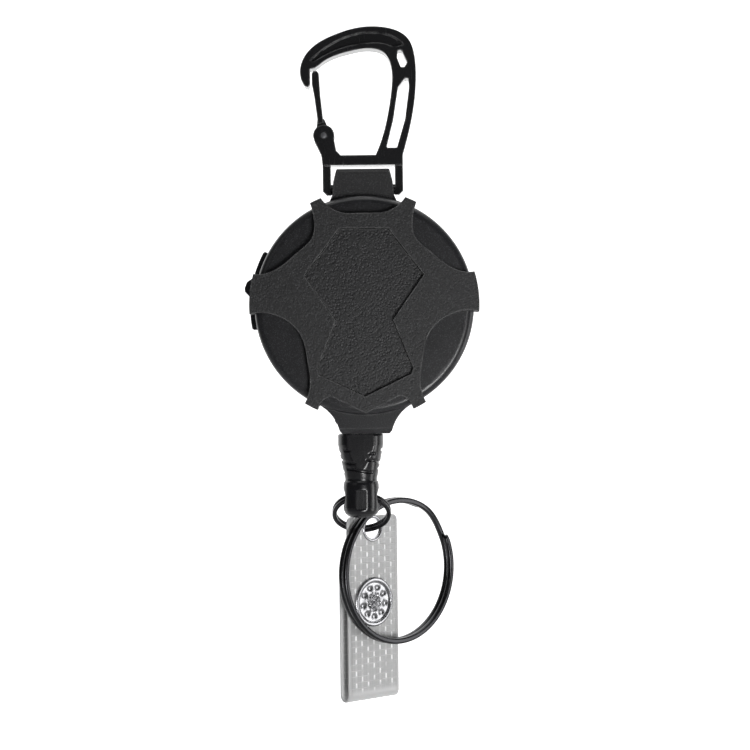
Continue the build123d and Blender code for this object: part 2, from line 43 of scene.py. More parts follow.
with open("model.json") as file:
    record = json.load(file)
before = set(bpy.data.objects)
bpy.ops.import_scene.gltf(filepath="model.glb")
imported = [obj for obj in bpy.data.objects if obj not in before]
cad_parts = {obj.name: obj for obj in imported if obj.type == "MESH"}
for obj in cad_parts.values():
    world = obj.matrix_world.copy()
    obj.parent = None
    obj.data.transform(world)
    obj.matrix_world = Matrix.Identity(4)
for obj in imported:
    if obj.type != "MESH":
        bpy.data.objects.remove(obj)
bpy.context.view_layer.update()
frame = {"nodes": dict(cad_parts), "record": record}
MM = 0.001
BODY_OF = {
    node: body
    for body, members in frame["record"]["behaviour"]["bodies"].items()
    for node in members
}

# Places the outlines below share, in millimetres.
ACROSS = Vector((1, 0, 0))
UP = Vector((0, 0, 1))
BOOT_AXIS = (-1.1, -6.6)
BOOT_HOLE = Vector((*BOOT_AXIS, -38.1))

# The link ring hangs through the boot's cross hole and tilts back.
LINK_R = 5.5
LINK_WIRE = (0.9, 1.5)
LINK_TILT = math.radians(49.0)
LINK_BESIDE = 2.0
DOWN = Vector((0, math.sin(LINK_TILT), -math.cos(LINK_TILT)))
LINK_CENTRE = BOOT_HOLE + DOWN * (LINK_R - 0.2)

# The strap and the key ring hang beside the link ring's lowest point, turned to face right.
HANG = LINK_CENTRE + DOWN * math.sqrt(LINK_R**2 - LINK_BESIDE**2) + ACROSS * LINK_BESIDE
TURNED = math.radians(41.0)
ALONG = Vector((math.cos(TURNED), math.sin(TURNED), 0))
FACING = Vector((math.sin(TURNED), -math.cos(TURNED), 0))
EYELET = HANG - UP * 0.15
KEY_R = 14.4
KEY_WIRE = (1.2, 2.3)
KEY_CENTRE = HANG + ALONG * 5.1 + FACING * 2.05 - UP * 9.0

# The strap's own plane has its origin at the eyelet, and y points up along the strap.
SNAP_DROP = 15.0
LEAF_PITCH = 2.4
STRAP_HALF = 6.75
STRAP_TOP = 2.6
FOLD_Y = -33.55
FLAP_TOP = -7.5


def smooth_step(value):
    value = min(1.0, max(0.0, value))
    return value * value * (3 - 2 * value)


def shaded(colour, factor):
    """A colour made lighter or darker, never past white."""
    return tuple(min(1.0, c * factor) for c in colour[:3]) + (1.0,)


# ---------------------------------------------------------------- wiring of materials

class Wire:
    """A value that runs between nodes. Arithmetic on it adds Math nodes."""

    def __init__(self, finish, socket):
        self.finish = finish
        self.socket = socket

    def maths(self, operation, *values):
        """A Math node on the values given."""
        return self.finish.add("ShaderNodeMath", {"operation": operation}, dict(enumerate(values)))

    def __add__(self, other):
        return self.maths("ADD", self, other)

    __radd__ = __add__

    def __sub__(self, other):
        return self.maths("SUBTRACT", self, other)

    def __rsub__(self, other):
        return self.maths("SUBTRACT", other, self)

    def __mul__(self, other):
        return self.maths("MULTIPLY", self, other)

    __rmul__ = __mul__

    def __truediv__(self, other):
        return self.maths("DIVIDE", self, other)

    def __mod__(self, other):
        return self.maths("FLOORED_MODULO", self, other)

    def __abs__(self):
        return self.maths("ABSOLUTE", self)

    def sine(self):
        return self.maths("SINE", self)

    def larger(self, other):
        return self.maths("MAXIMUM", self, other)


class Finish:
    """A material while it is wired: add() makes any node, and the rest are short names for some."""

    def __init__(self, name):
        self.material = bpy.data.materials.new(name)
        self.material.use_nodes = True
        self.tree = self.material.node_tree
        self.tree.nodes.clear()
        self.spot = self.add("ShaderNodeTexCoord", out="Object")

    def add(self, kind, settings=None, sockets=None, out=0):
        """Adds a node and gives back one of its outputs, or all of them if out is None."""
        node = self.tree.nodes.new(kind)
        for name, value in (settings or {}).items():
            setattr(node, name, value)
        for name, value in (sockets or {}).items():
            if isinstance(value, Wire):
                self.tree.links.new(value.socket, node.inputs[name])
            else:
                node.inputs[name].default_value = value
        outputs = [Wire(self, socket) for socket in node.outputs]
        if out is None or not outputs:
            return outputs
        return Wire(self, node.outputs[out])

    def noise(self, size, detail=2.0, place=None):
        """Soft random values, from 0 to 1, in blotches about size millimetres wide."""
        sockets = {"Vector": place or self.spot, "Scale": 1 / (size * MM), "Detail": detail}
        return self.add("ShaderNodeTexNoise", sockets=sockets)

    def cells(self, size):
        """The distance to the nearest of many scattered points, size millimetres apart."""
        sockets = {"Vector": self.spot, "Scale": 1 / (size * MM)}
        return self.add("ShaderNodeTexVoronoi", sockets=sockets)

    def stretched(self, x, y, z):
        """The place on the object with each direction scaled, for marks that run one way."""
        return self.add("ShaderNodeMapping", sockets={"Vector": self.spot, "Scale": (x, y, z)})

    def between(self, value, low, high, first=0.0, last=1.0):
        """An eased step from first to last as value goes from low to high."""
        sockets = {"Value": value, "From Min": low, "From Max": high, "To Min": first, "To Max": last}
        return self.add("ShaderNodeMapRange", {"interpolation_type": "SMOOTHSTEP"}, sockets, "Result")

    def mix(self, share, first, second):
        """A colour between two; a plain number is a grey."""
        first, second = (
            (c, c, c, 1) if isinstance(c, (int, float)) else c for c in (first, second)
        )
        return self.add("ShaderNodeMix", {"data_type": "RGBA"}, {0: share, 6: first, 7: second}, 2)

    def edges(self, width):
        """1 along edges and 0 on open faces, over a width in millimetres."""
        eased = self.add("ShaderNodeBevel", {"samples": 4}, {"Radius": width * MM})
        plain = self.add("ShaderNodeNewGeometry", out="Normal")
        dot = {"operation": "DOT_PRODUCT"}
        same = self.add("ShaderNodeVectorMath", dot, {0: eased, 1: plain}, "Value")
        return self.between(1 - same, 0.01, 0.16)

    def axes(self, vector):
        """The three parts of a vector."""
        return self.add("ShaderNodeSeparateXYZ", sockets={0: vector}, out=None)

    def surface(self, colour, roughness, relief, depth, fixed=None):
        """Ends the material; depth is the height of the relief in millimetres."""
        bump = self.add("ShaderNodeBump", sockets={"Distance": depth * MM, "Height": relief})
        sockets = {"Base Color": colour, "Roughness": roughness, "Normal": bump, **(fixed or {})}
        shader = self.add("ShaderNodeBsdfPrincipled", sockets=sockets)
        self.add("ShaderNodeOutputMaterial", sockets={"Surface": shader})
        return self.material


# ---------------------------------------------------------------- finishes

def carabiner_metal(f, colours):
    """Die-cast alloy in glossy black enamel, lighter on its edges: partly rubbed thin, partly a painted
    highlight.
    """
    orange_peel = f.noise(1.3, 2)
    dust = f.noise(0.12, 3)
    haze = f.noise(9, 3)
    # Lighter edges: partly enamel rubbed thin, partly a painted highlight on the rounded edges.
    lighter_edge = f.edges(0.5) * f.between(f.noise(1.6, 4), 0.3, 0.6)
    scratch = f.between(f.noise(0.5, 2, f.stretched(1, 1, 0.06)), 0.66, 0.72)
    enamel = f.mix(haze, shaded(colours.enamel, 0.8), tuple(colours.enamel))
    colour = f.mix(lighter_edge * 0.8, enamel, 0.2)
    rough = 0.12 + haze * 0.1 + scratch * 0.14 + dust * 0.05
    lacquer = {"Coat Weight": 0.4, "Coat Roughness": 0.14}
    return f.surface(colour, rough, orange_peel + dust * 0.12, 0.035, lacquer)


def moulded(f, colour, grain, coarse, rough, depth):
    """Spark-eroded mould texture in black plastic: fine pits over a broader grain."""
    fine = f.noise(grain, 3)
    broad = f.noise(coarse, 2)
    pits = f.between(f.cells(grain * 1.6), 0.1, 0.55)
    haze = f.noise(14, 3)
    # Lighter edges: partly wear, partly a painted highlight on the rounded edges.
    worn_and_highlight = f.edges(0.5) * f.between(f.noise(2.2, 3), 0.2, 0.6)
    speck = f.between(fine, 0.52, 0.68)
    tone = f.mix(speck * 0.8 + haze * 0.15, tuple(colour), shaded(colour, 5.5))
    tone = f.mix(worn_and_highlight * 0.8, tone, 0.14)
    roughness = rough + haze * 0.1 - worn_and_highlight * 0.12 + fine * 0.06
    relief = fine * 0.6 + pits * 0.5 + broad * 0.4
    return f.surface(tone, roughness, relief, depth, {"Specular IOR Level": 0.45})


def case_plastic(f, colours):
    return moulded(f, colours.case, 0.16, 0.9, 0.22, 0.006)


def cover_plastic(f, colours):
    return moulded(f, colours.cover, 0.27, 1.4, 0.42, 0.06)


def inlay_plastic(f, colours):
    return moulded(f, colours.inlay, 0.34, 1.4, 0.4, 0.09)


def lug_plastic(f, colours):
    return moulded(f, colours.cover, 0.24, 1.5, 0.42, 0.035)


def slider_plastic(f, colours):
    return moulded(f, colours.case, 0.14, 0.8, 0.36, 0.015)


def boot_rubber(f, colours):
    """Soft black rubber, a little bloomed, with flow lines down from the gate."""
    bloom = f.noise(3.5, 4)
    skin = f.noise(0.16, 3)
    flow = f.noise(0.5, 2, f.stretched(1, 1, 0.12))
    lighter_edge = f.edges(0.3) * f.between(f.noise(1.2, 3), 0.4, 0.65)
    colour = f.mix(bloom * 0.6 + lighter_edge * 0.3, tuple(colours.rubber), shaded(colours.rubber, 2.1))
    rough = 0.17 + bloom * 0.1 + flow * 0.05
    return f.surface(colour, rough, skin * 0.5 + flow + bloom * 0.4, 0.01)


def drawn_steel(f, base, rough, wear_and_highlight=0.5):
    """Wire or stampings: fine drawing lines, tumbled haze, and bright edges, partly rubbed and partly a
    painted highlight.
    """
    lines = f.noise(0.22, 3)
    haze = f.noise(2.4, 3)
    nick = f.between(f.cells(1.1), 0.04, 0.12, 1.0, 0.0)
    # Bright edges: partly rubbed plating, partly a painted highlight on the rounded edges.
    lighter_edge = f.edges(0.15) * wear_and_highlight
    colour = f.mix(haze, tuple(base), shaded(base, 1.35))
    colour = f.mix(lighter_edge, colour, shaded(base, 3))
    roughness = rough + haze * 0.1 + lines * 0.06 + nick * 0.1
    relief = lines * 0.4 + haze * 0.3 - nick * 0.4
    return f.surface(colour, roughness, relief, 0.012, {"Metallic": 1.0})


def ring_steel(f, colours):
    return drawn_steel(f, colours.ring, 0.16, 0.7)


def snap_steel(f, colours):
    return drawn_steel(f, colours.snap, 0.16, 0.5)


def spring_steel(f, colours):
    return drawn_steel(f, (0.24, 0.26, 0.3, 1), 0.26)


def screw_steel(f, colours):
    return drawn_steel(f, (0.2, 0.2, 0.21, 1), 0.32)


def acetal(f, colours):
    """Milky self-oiling plastic, faintly mottled."""
    cloud = f.noise(5, 3)
    skin = f.noise(0.3, 3)
    colour = f.mix(cloud, (0.7, 0.69, 0.64, 1), (0.82, 0.81, 0.77, 1))
    milky = {"Subsurface Weight": 0.1, "Subsurface Scale": 0.001}
    return f.surface(colour, 0.34 + cloud * 0.12, skin + cloud * 0.3, 0.01, milky)


def cord_braid(f, colours):
    """Eight-strand nylon braid: crossing strands on a round cord."""
    x, y, z = f.axes(f.spot)
    turn = x.maths("ARCTAN2", y - BOOT_AXIS[1] * MM, x - BOOT_AXIS[0] * MM)
    climb = z * (math.tau / (1.3 * MM))
    over = (turn * 4 + climb).sine()
    under = (turn * 4 - climb).sine()
    strand = over.larger(under)
    fibre = f.noise(0.05, 3)
    colour = f.mix(strand * 0.5 + fibre * 0.4, 0.008, 0.05)
    return f.surface(colour, 0.6 + fibre * 0.2, strand + fibre * 0.3, 0.05, {"Sheen Weight": 0.3})


def vinyl(f, colours):
    """Clear vinyl over a polyester scrim: bricks of yarn, with painted glints: white dashes where a yarn
    crosses over.

    The strap's own map gives millimetres across it and millimetres along it from its top edge.
    """
    across, along, _ = f.axes(f.add("ShaderNodeUVMap", {"uv_map": "strap_place"}))
    pitch, row, fold = 3.2, 1.2, 38.0
    rows = along / row
    level = rows % 1.0
    step = (rows - level) % 2.0
    brick = (across / pitch + step * 0.5) % 1.0
    # The short white dashes in each brick are painted glints where a yarn crosses over.
    glint_dash = f.between(abs(brick - 0.5), 0.035, 0.085, 1.0, 0.0)
    glint_dash = glint_dash * f.between(abs(level - 0.5), 0.3, 0.48, 1.0, 0.0)
    bed = f.between(abs(level - 0.5), 0.38, 0.48)
    side = f.between(abs(brick - 0.5), 0.4, 0.47)
    warp = abs((across / 0.53) % 1.0 - 0.5)
    weft = abs((along / 0.6) % 1.0 - 0.5)
    cloth = 1 - (warp + weft)
    plain = f.between(abs(abs(across) - STRAP_HALF), 0.35, 0.9)
    plain = plain * f.between(abs(along - fold), 2.0, 3.2)
    blotch = f.noise(2.6, 3)
    fine = f.noise(0.25, 3)
    # The dashes add painted glints here; bed and side make lighter brick outlines.
    bright = glint_dash * f.between(blotch, 0.35, 0.6) + (bed * 0.5 + side * 0.3) * f.between(blotch, 0.25, 0.65)
    # yarn holds the brick pattern together with the painted glints.
    yarn = (cloth * 0.16 + bright) * plain
    share = yarn + fine * 0.25 + blotch * 0.2
    colour = f.mix(share, shaded(colours.vinyl, 0.6), tuple(colours.vinyl))
    # The dashes are painted white: painted glints.
    colour = f.mix(glint_dash * plain * f.between(blotch, 0.3, 0.55), colour, 1.0)
    colour = f.mix((1 - plain) * 0.6, colour, 0.74)
    clear = f.between(yarn + blotch * 0.25, 0.0, 0.8, 0.82, 0.96)
    relief = yarn * 1.2 + fine * 0.12 + blotch * 0.3
    fixed = {"Alpha": clear, "Coat Weight": 0.35, "Coat Roughness": 0.15}
    return f.surface(colour, 0.3 + blotch * 0.14 + yarn * 0.1, relief, 0.08, fixed)


FINISHES = {
    "carabiner_metal": carabiner_metal,
    "case_plastic": case_plastic,
    "cover_plastic": cover_plastic,
    "inlay_plastic": inlay_plastic,
    "lug_plastic": lug_plastic,
    "slider_plastic": slider_plastic,
    "boot_rubber": boot_rubber,
    "ring_steel": ring_steel,
    "snap_steel": snap_steel,
    "spring_steel": spring_steel,
    "screw_steel": screw_steel,
    "acetal": acetal,
    "vinyl": vinyl,
    "cord_braid": cord_braid,
}
MADE = {}


def finish(slot):
    """The material of one of the record's slots, made the first time it is asked for."""
    if slot not in MADE:
        MADE[slot] = FINISHES[slot](Finish(slot), bpy.context.scene.reel_colours)
    return MADE[slot]


# ---------------------------------------------------------------- shaping

def placed(origin, along, facing):
    """The change of place from a plane's own x, y and z to the object's, all in millimetres."""
    along, facing = along.normalized(), facing.normalized()
    up = facing.cross(along)
    turn = Matrix((along, up, facing)).transposed().to_4x4()
    return Matrix.Translation(origin) @ turn


def loft(rows, closed=False, caps=False):
    """Faces over rows of points; closed joins the last row to the first."""
    count = len(rows[0])
    faces = []
    for i in range(len(rows) if closed else len(rows) - 1):
        here, there = i * count, (i + 1) % len(rows) * count
        for k in range(count):
            beside = (k + 1) % count
            faces.append((here + k, here + beside, there + beside, there + k))
    if caps:
        last = (len(rows) - 1) * count
        faces.append(tuple(range(count)))
        faces.append(tuple(range(last, last + count)))
    return [p for row in rows for p in row], faces


def circle(radius, height, count):
    """Points evenly round the z axis; the height is a number or a function of the angle."""
    angles = [math.tau * k / count for k in range(count)]
    heights = [height(a) if callable(height) else height for a in angles]
    return [(radius * math.cos(a), radius * math.sin(a), h) for a, h in zip(angles, heights)]


def new_piece(name, points, faces, place=None):
    """A smooth mesh from points in millimetres, its doubled points joined."""
    place = place or Matrix.Identity(4)
    mesh = bpy.data.meshes.new(name)
    mesh.from_pydata([(place @ Vector(p)) * MM for p in points], [], faces)
    tidied = bmesh.new()
    tidied.from_mesh(mesh)
    bmesh.ops.remove_doubles(tidied, verts=tidied.verts, dist=2e-7)
    bmesh.ops.recalc_face_normals(tidied, faces=tidied.faces)
    tidied.to_mesh(mesh)
    tidied.free()
    mesh.shade_smooth()
    piece = bpy.data.objects.new(name, mesh)
    bpy.context.scene.collection.objects.link(piece)
    return piece


def turned(name, outline, place, steps=96):
    """A turned piece from a closed outline of (radius, height) points."""
    rows = []
    for i in range(steps):
        a = math.tau * i / steps
        rows.append([(r * math.cos(a), r * math.sin(a), h) for r, h in outline])
    return new_piece(name, *loft(rows, closed=True), place)


def cut(piece, *cutters):
    """Takes the cutters out of a piece and removes them."""
    for cutter in cutters:
        tool = piece.modifiers.new("cut", "BOOLEAN")
        tool.operation = "DIFFERENCE"
        tool.solver = "EXACT"
        tool.object = cutter
    bpy.context.view_layer.update()
    shaped = piece.evaluated_get(bpy.context.evaluated_depsgraph_get())
    mesh = bpy.data.meshes.new_from_object(shaped)
    piece.modifiers.clear()
    piece.data = mesh
    for cutter in cutters:
        bpy.data.objects.remove(cutter)


def eased(piece, width):
    """Rounds every sharp edge over a width in millimetres."""
    bevel = piece.modifiers.new("rounded edges", "BEVEL")
    bevel.width = width * MM
    bevel.segments = 3
    bevel.limit_method = "ANGLE"
    bevel.angle_limit = math.radians(32)
    bevel.harden_normals = False
    even = piece.modifiers.new("even shading", "WEIGHTED_NORMAL")
    even.keep_sharp = True


def settle(piece, slot, body, *nodes):
    """Gives a piece its material, hides the nodes it stands for, and hangs it on its body when one is
    given.
    """
    piece.data.materials.clear()
    piece.data.materials.append(finish(slot))
    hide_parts(*nodes)
    if body:
        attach(piece, body)


def softened(node, width, slot):
    """A new piece in a node's shape, its flat facets joined and its edges rounded."""
    source = frame["nodes"][node].data
    shell = bmesh.new()
    shell.from_mesh(source)
    bmesh.ops.remove_doubles(shell, verts=shell.verts, dist=2e-6)
    bmesh.ops.dissolve_limit(shell, angle_limit=math.radians(0.8), verts=shell.verts, edges=shell.edges)
    loose = [v for v in shell.verts if not v.link_faces]
    bmesh.ops.delete(shell, geom=loose, context="VERTS")
    points = [v.co.copy() for v in shell.verts]
    shell.verts.index_update()
    faces = [[v.index for v in face.verts] for face in shell.faces]
    shell.free()
    mesh = bpy.data.meshes.new(node)
    mesh.from_pydata(points, [], faces)
    mesh.shade_smooth()
    piece = bpy.data.objects.new(node + "_finished", mesh)
    bpy.context.scene.collection.objects.link(piece)
    eased(piece, width)
    settle(piece, slot, BODY_OF[node], node)


def coat(node, slot):
    """Gives a node of the frame its material."""
    mesh = frame["nodes"][node].data
    mesh.materials.clear()
    mesh.materials.append(finish(slot))


def wire_section(wide, thick):
    """A flattened round, as wire is rolled for split rings."""
    count, flatness = 20, 0.62
    points = []
    for k in range(count):
        c, s = math.cos(math.tau * k / count), math.sin(math.tau * k / count)
        across = math.copysign(abs(c) ** flatness, c) * wide / 2
        points.append((across, math.copysign(abs(s) ** flatness, s) * thick / 2))
    return points


def split_coil(name, place, radius, wide, thick, opens_at):
    """Two turns of flat wire side by side, which step across where the ring opens.

    The angles are in degrees: the wire starts and ends half a step clear of the crossing.
    """
    section = wire_section(wide, thick / 2 - 0.02)
    rows = []
    steps, crossing = 280, 38
    for i in range(steps + 1):
        turn = crossing / 2 + (720 - crossing) * i / steps
        layer = smooth_step((turn - 360 + crossing / 2) / crossing)
        lift = (layer - 0.5) * thick / 2
        near_end = min(i, steps - i)
        trim = 1 if near_end > 1 else 0.8 + 0.1 * near_end
        a = math.radians(turn + opens_at)
        rows.append([
            ((radius + r * trim) * math.cos(a), (radius + r * trim) * math.sin(a), lift + h * trim)
            for r, h in section
        ])
    return new_piece(name, *loft(rows, caps=True), place)


STRAP_PLACE = placed(EYELET, ALONG, FACING)
SNAP_PLACE = STRAP_PLACE @ Matrix.Translation((0, -SNAP_DROP, 0))


# ---------------------------------------------------------------- what a user may change

class ReelColours(bpy.types.PropertyGroup):
    """The colours of the finishes."""

    enamel: bpy.props.FloatVectorProperty(
        name="Carabiner enamel", description="Colour of the carabiner and its gate",
        default=(0.012, 0.012, 0.013, 1), size=4, min=0, max=1, subtype="COLOR")
    case: bpy.props.FloatVectorProperty(
        name="Case", description="Colour of the smooth case and the slider",
        default=(0.010, 0.010, 0.011, 1), size=4, min=0, max=1, subtype="COLOR")
    cover: bpy.props.FloatVectorProperty(
        name="Cover", description="Colour of the grained cover and the lug",
        default=(0.008, 0.008, 0.0085, 1), size=4, min=0, max=1, subtype="COLOR")
    inlay: bpy.props.FloatVectorProperty(
        name="Inlay", description="Colour of the sunk hourglass panel",
        default=(0.008, 0.008, 0.0085, 1), size=4, min=0, max=1, subtype="COLOR")
    rubber: bpy.props.FloatVectorProperty(
        name="Boot", description="Colour of the rubber boot",
        default=(0.005, 0.005, 0.006, 1), size=4, min=0, max=1, subtype="COLOR")
    ring: bpy.props.FloatVectorProperty(
        name="Rings", description="Colour of the dark plating on both split rings",
        default=(0.034, 0.034, 0.036, 1), size=4, min=0, max=1, subtype="COLOR")
    snap: bpy.props.FloatVectorProperty(
        name="Snap and eyelet", description="Colour of the bright plating on the snap and the eyelet",
        default=(0.28, 0.28, 0.29, 1), size=4, min=0, max=1, subtype="COLOR")
    vinyl: bpy.props.FloatVectorProperty(
        name="Strap", description="Colour of the yarn in the clear strap",
        default=(0.62, 0.62, 0.62, 1), size=4, min=0, max=1, subtype="COLOR")


class ReelSizes(bpy.types.PropertyGroup):
    """The sizes of the small detail."""

    cover_edge: bpy.props.FloatProperty(
        name="Cover edge", description="Width of the rounding along the cover's edges",
        default=0.00045, min=0.0001, max=0.0006, precision=5, unit="LENGTH")
    hook_edge: bpy.props.FloatProperty(
        name="Carabiner edge", description="Width of the rounding along the carabiner's edges",
        default=0.00042, min=0.0001, max=0.0006, precision=5, unit="LENGTH")
    boot_groove: bpy.props.FloatProperty(
        name="Boot groove", description="Depth of the staggered grooves in the boot",
        default=0.0003, min=0, max=0.0006, precision=5, unit="LENGTH")
    key_opens_at: bpy.props.FloatProperty(
        name="Key ring opening", description="Where round the key ring its wire ends",
        default=math.radians(45), subtype="ANGLE")


# ---------------------------------------------------------------- one operator for each group of pieces

class MakeCarabiner(bpy.types.Operator):
    """Make the carabiner, its gate, the gate's pin and its spring"""

    bl_idname = "badge_reel.carabiner"
    bl_label = "Carabiner"
    bl_options = {"REGISTER", "UNDO"}

    def execute(self, context):
        softened("carabiner_frame", context.scene.reel_sizes.hook_edge / MM, "carabiner_metal")
        softened("gate", 0.25, "carabiner_metal")
        softened("gate_pin", 0.12, "screw_steel")
        coat("gate_spring", "spring_steel")
        return {"FINISHED"}


class MakeCase(bpy.types.Operator):
    """Make the two shells, the lug's cover, the lock's slider and the screws"""

    bl_idname = "badge_reel.case"
    bl_label = "Case"
    bl_options = {"REGISTER", "UNDO"}

    def execute(self, context):
        softened("rear_shell", 0.16, "case_plastic")
        softened("front_shell", 0.16, "case_plastic")
        softened("lug_cover", 0.28, "lug_plastic")
        softened("lock_slider", 0.18, "slider_plastic")
        softened("case_screws", 0.08, "screw_steel")
        return {"FINISHED"}


class MakeCover(bpy.types.Operator):
    """Make the six-armed cover and the sunk hourglass panel"""

    bl_idname = "badge_reel.cover"
    bl_label = "Cover"
    bl_options = {"REGISTER", "UNDO"}

    def execute(self, context):
        softened("star_cover", context.scene.reel_sizes.cover_edge / MM, "cover_plastic")
        softened("inlay_panel", 0.1, "inlay_plastic")
        return {"FINISHED"}


class MakeWorks(bpy.types.Operator):
    """Give the spool, springs, washers, post and pawl inside the case their finishes"""

    bl_idname = "badge_reel.works"
    bl_label = "Works"
    bl_options = {"REGISTER", "UNDO"}

    def execute(self, context):
        for node in ("spool", "spring_cover", "rear_washer", "front_washer", "cord_guide", "lock_pawl"):
            coat(node, "acetal")
        for node in ("power_spring", "pawl_spring"):
            coat(node, "spring_steel")
        for node in ("arbor", "arbor_screw", "cord_crimp"):
            coat(node, "screw_steel")
        return {"FINISHED"}


class MakeCord(bpy.types.Operator):
    """Make the braided cord from its winding to the boot"""

    bl_idname = "badge_reel.cord"
    bl_label = "Cord"
    bl_options = {"REGISTER", "UNDO"}

    def execute(self, context):
        coat("cord_winding", "cord_braid")
        coat("cord_run", "cord_braid")
        radius, top, length, steps = 0.44, -21.8, 10.6, 40
        rows = [circle(radius, top - length * i / steps, 24) for i in range(steps + 1)]
        lead = new_piece("cord_to_boot", *loft(rows, caps=True), Matrix.Translation((*BOOT_AXIS, 0)))
        settle(lead, "cord_braid", None, "cord_lead")
        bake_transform(lead)
        return {"FINISHED"}


class MakeBoot(bpy.types.Operator):
    """Make the ribbed rubber boot"""

    bl_idname = "badge_reel.boot"
    bl_label = "Boot"
    bl_options = {"REGISTER", "UNDO"}

    TOP = -25.5
    AROUND = 144
    FLAT = 3.57
    GROOVE_ROWS = (-29.3, -31.2, -33.0)
    PROFILE = [
        (4.2, TOP), (4.45, -25.6), (4.55, -25.9), (4.55, -27.6), (4.36, -28.6), (3.3, -34.0),
        (3.2, -34.45), (3.2, -34.8), (3.42, -35.1), (3.52, -35.6), (3.57, -36.3), (3.57, -40.2),
        (3.47, -40.83), (3.18, -41.4), (2.7, -41.86), (2.2, -42.12), (1.57, -42.2),
    ]

    def radius(self, z):
        """The boot's radius at a height, before its grooves and its flat."""
        for (r0, z0), (r1, z1) in zip(self.PROFILE, self.PROFILE[1:]):
            if z1 <= z <= z0:
                return r0 + (r1 - r0) * (z0 - z) / (z0 - z1)
        return self.PROFILE[-1][0]

    def groove(self, degrees, z, depth):
        """How far the skin is sunk: three rows of short slanting grooves, staggered."""
        sunk = 0.0
        for row, middle in enumerate(self.GROOVE_ROWS):
            for start in (0, 120, 240):
                centre = start + 60 * (row % 2) + 28
                off = (degrees - centre + 180) % 360 - 180
                bow = middle - 0.35 * math.sin(math.radians(off * 2.2)) + 0.25
                reach = smooth_step((50 - abs(off)) / 9)
                width = smooth_step((0.36 - abs(z - bow)) / 0.24)
                sunk = max(sunk, reach * width)
        return sunk * depth

    def execute(self, context):
        depth = context.scene.reel_sizes.boot_groove / MM
        heights = {round(self.TOP - 0.11 * i, 3) for i in range(152)} | {z for _, z in self.PROFILE}
        rows = [circle(0.65, z, self.AROUND) for z in (-28.6, self.TOP)]
        for z in sorted(heights, reverse=True):
            pressed = smooth_step((-36.5 - z) / 0.25) * smooth_step((z + 40.7) / 0.25)
            row = []
            for k in range(self.AROUND):
                a = math.tau * k / self.AROUND
                r = self.radius(z) - self.groove(math.degrees(a), z, depth)
                row.append((r * math.cos(a), max(r * math.sin(a), 0.2 * pressed - self.FLAT), z))
            rows.append(row)
        boot = new_piece("boot_skin", *loft(rows, caps=True), Matrix.Translation((*BOOT_AXIS, 0)))
        flare = [(1.2 + 0.8 * (x / 4.2) ** 2, x) for x in (i * 0.3 - 4.8 for i in range(33))]
        across = placed(BOOT_HOLE, Vector((0, 1, 0)), ACROSS)
        tunnel = turned("tunnel", flare + [(0, 4.8), (0, -4.8)], across, 48)
        crimp = turned("crimp_room", [(0, -33.2), (1.6, -33.2), (1.6, -28.5), (0, -28.5)],
                       Matrix.Translation((*BOOT_AXIS, 0)), 48)
        cut(boot, tunnel, crimp)
        boot.data.set_sharp_from_angle(angle=math.radians(40))
        settle(boot, "boot_rubber", "boot", "boot")
        return {"FINISHED"}


class MakeRings(bpy.types.Operator):
    """Make the small link ring and the large key ring"""

    bl_idname = "badge_reel.rings"
    bl_label = "Rings"
    bl_options = {"REGISTER", "UNDO"}

    def execute(self, context):
        opens_at = math.degrees(context.scene.reel_sizes.key_opens_at)
        key_place = placed(KEY_CENTRE, ALONG, FACING)
        key = split_coil("key_ring_wire", key_place, KEY_R, *KEY_WIRE, opens_at)
        settle(key, "ring_steel", "key_ring", "key_ring")
        link_place = placed(LINK_CENTRE, ACROSS, DOWN.cross(ACROSS))
        link = split_coil("link_ring_wire", link_place, LINK_R, *LINK_WIRE, 90)
        settle(link, "ring_steel", "link", "link_ring")
        return {"FINISHED"}


